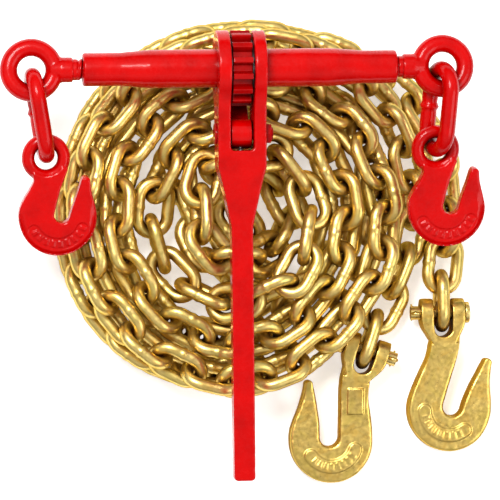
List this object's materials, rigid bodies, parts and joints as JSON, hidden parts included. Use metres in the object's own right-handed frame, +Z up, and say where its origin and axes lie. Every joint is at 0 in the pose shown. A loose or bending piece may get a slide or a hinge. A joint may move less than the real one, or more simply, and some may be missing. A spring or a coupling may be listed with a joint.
{
  "type": "load binder chain",
  "caption": "Ratchet load binder with two eye grab hooks, lying across a coiled transport chain that has a clevis grab hook at each end.",
  "frame": {"origin": "centre of the bounding box's underside, on the floor that the coil lies on", "axes": "+Z up; +X along the binder's barrel, to the right; the handle points to -Y"},
  "size_m": [0.4002, 0.3754, 0.1305],
  "materials": {
    "red_paint": "thick gloss red paint over a forging",
    "gear_red": "gloss red paint over cut teeth",
    "pawl_pin_red": "gloss red paint over a plain pin and nut",
    "washer_steel": "bare oiled steel",
    "spring_steel": "bare spring steel",
    "plunger_steel": "bare turned steel",
    "chain_chromate": "yellow zinc chromate on welded steel, slightly iridescent",
    "hook_chromate": "yellow zinc chromate over a forged surface",
    "pin_chromate": "yellow zinc chromate on plain steel"
  },
  "bodies": {
    "chain": {"chain_end_link_a": "chain_chromate", "chain_end_link_b": "chain_chromate", "chain_lower_turn_1": "chain_chromate", "chain_lower_turn_2": "chain_chromate", "chain_lower_turn_3": "chain_chromate", "chain_middle_bend": "chain_chromate", "chain_tail_a": "chain_chromate", "chain_tail_b": "chain_chromate", "chain_upper_turn_1": "chain_chromate", "chain_upper_turn_2": "chain_chromate", "chain_upper_turn_3": "chain_chromate"},
    "clevis_a": {"clevis_hook_a": "hook_chromate", "clevis_pin_a": "pin_chromate", "cotter_pin_a": "pin_chromate"},
    "clevis_b": {"clevis_hook_b": "hook_chromate", "clevis_pin_b": "pin_chromate", "cotter_pin_b": "pin_chromate"},
    "binder_core": {"left_thrust_washer": "washer_steel", "right_thrust_washer": "washer_steel"},
    "barrel": {"barrel_tube": "red_paint", "ratchet_gear": "gear_red"},
    "handle": {"handle_forging": "red_paint", "pawl_pin": "pawl_pin_red", "pawl_pin_nut": "pawl_pin_red", "pawl_spring": "spring_steel"},
    "pawl": {"pawl": "red_paint"},
    "plunger": {"pawl_plunger": "plunger_steel"},
    "left_bolt": {"left_eye_bolt": "red_paint"},
    "right_bolt": {"right_eye_bolt": "red_paint"},
    "left_link": {"left_connecting_link": "red_paint"},
    "right_link": {"right_connecting_link": "red_paint"},
    "left_hook": {"left_grab_hook": "red_paint"},
    "right_hook": {"right_grab_hook": "red_paint"}
  },
  "joints": [
    {"name": "binder_lift", "type": "slide", "parent": "chain", "child": "binder_core", "axis": [0, 0, 1], "range_m": [0, 0.25]},
    {"name": "barrel_turn", "type": "hinge", "parent": "binder_core", "child": "barrel", "pos_m": [-0.00991, 0.14252, 0.1005], "axis": [1, 0, 0], "range_deg": [0, 7560]},
    {"name": "left_screw", "type": "slide", "parent": "binder_core", "child": "left_bolt", "axis": [-1, 0, 0], "range_m": [0, 0.089]},
    {"name": "right_screw", "type": "slide", "parent": "binder_core", "child": "right_bolt", "axis": [1, 0, 0], "range_m": [0, 0.089]},
    {"name": "handle_swing", "type": "hinge", "parent": "binder_core", "child": "handle", "pos_m": [-0.00991, 0.14252, 0.1005], "axis": [-1, 0, 0], "range_deg": [0, 180]},
    {"name": "pawl_turn", "type": "hinge", "parent": "handle", "child": "pawl", "pos_m": [-0.00991, 0.09065, 0.09687], "axis": [-1, 0, 0], "range_deg": [-13, 0]},
    {"name": "plunger_slide", "type": "slide", "parent": "handle", "child": "plunger", "axis": [0, -0.9976, -0.0698], "range_m": [0, 0.0012], "stiffness_N_per_m": 300, "springref_m": -0.002, "deforming": ["pawl_spring"]},
    {"name": "left_link_swing", "type": "hinge", "parent": "left_bolt", "child": "left_link", "pos_m": [-0.17214, 0.12477, 0.1005], "axis": [-0.9863, -0.165, 0], "range_deg": [0, 100]},
    {"name": "left_hook_swing", "type": "hinge", "parent": "left_link", "child": "left_hook", "pos_m": [-0.16399, 0.07605, 0.09], "axis": [0, -0.2079, 0.9781], "range_deg": [-60, 60]},
    {"name": "right_link_swing", "type": "hinge", "parent": "right_bolt", "child": "right_link", "pos_m": [0.15072, 0.12459, 0.1005], "axis": [-0.9423, 0.0111, 0.3345], "range_deg": [0, 100]},
    {"name": "right_hook_swing", "type": "hinge", "parent": "right_link", "child": "right_hook", "pos_m": [0.14658, 0.07723, 0.0904], "axis": [0, -0.2079, 0.9781], "range_deg": [-60, 60]},
    {"name": "clevis_a_lift", "type": "hinge", "parent": "chain", "child": "clevis_a", "pos_m": [0.09799, -0.08098, 0.01755], "axis": [-0.9455, 0.3256, 0], "range_deg": [0, 90]},
    {"name": "clevis_b_lift", "type": "hinge", "parent": "chain", "child": "clevis_b", "pos_m": [0.16029, -0.05158, 0.01755], "axis": [-1, 0, 0], "range_deg": [0, 90]}
  ],
  "couplings": [
    {"joint": "left_screw", "follows": "barrel_turn", "m_per_rad": 0.00067376},
    {"joint": "right_screw", "follows": "barrel_turn", "m_per_rad": 0.00067376}
  ]
}
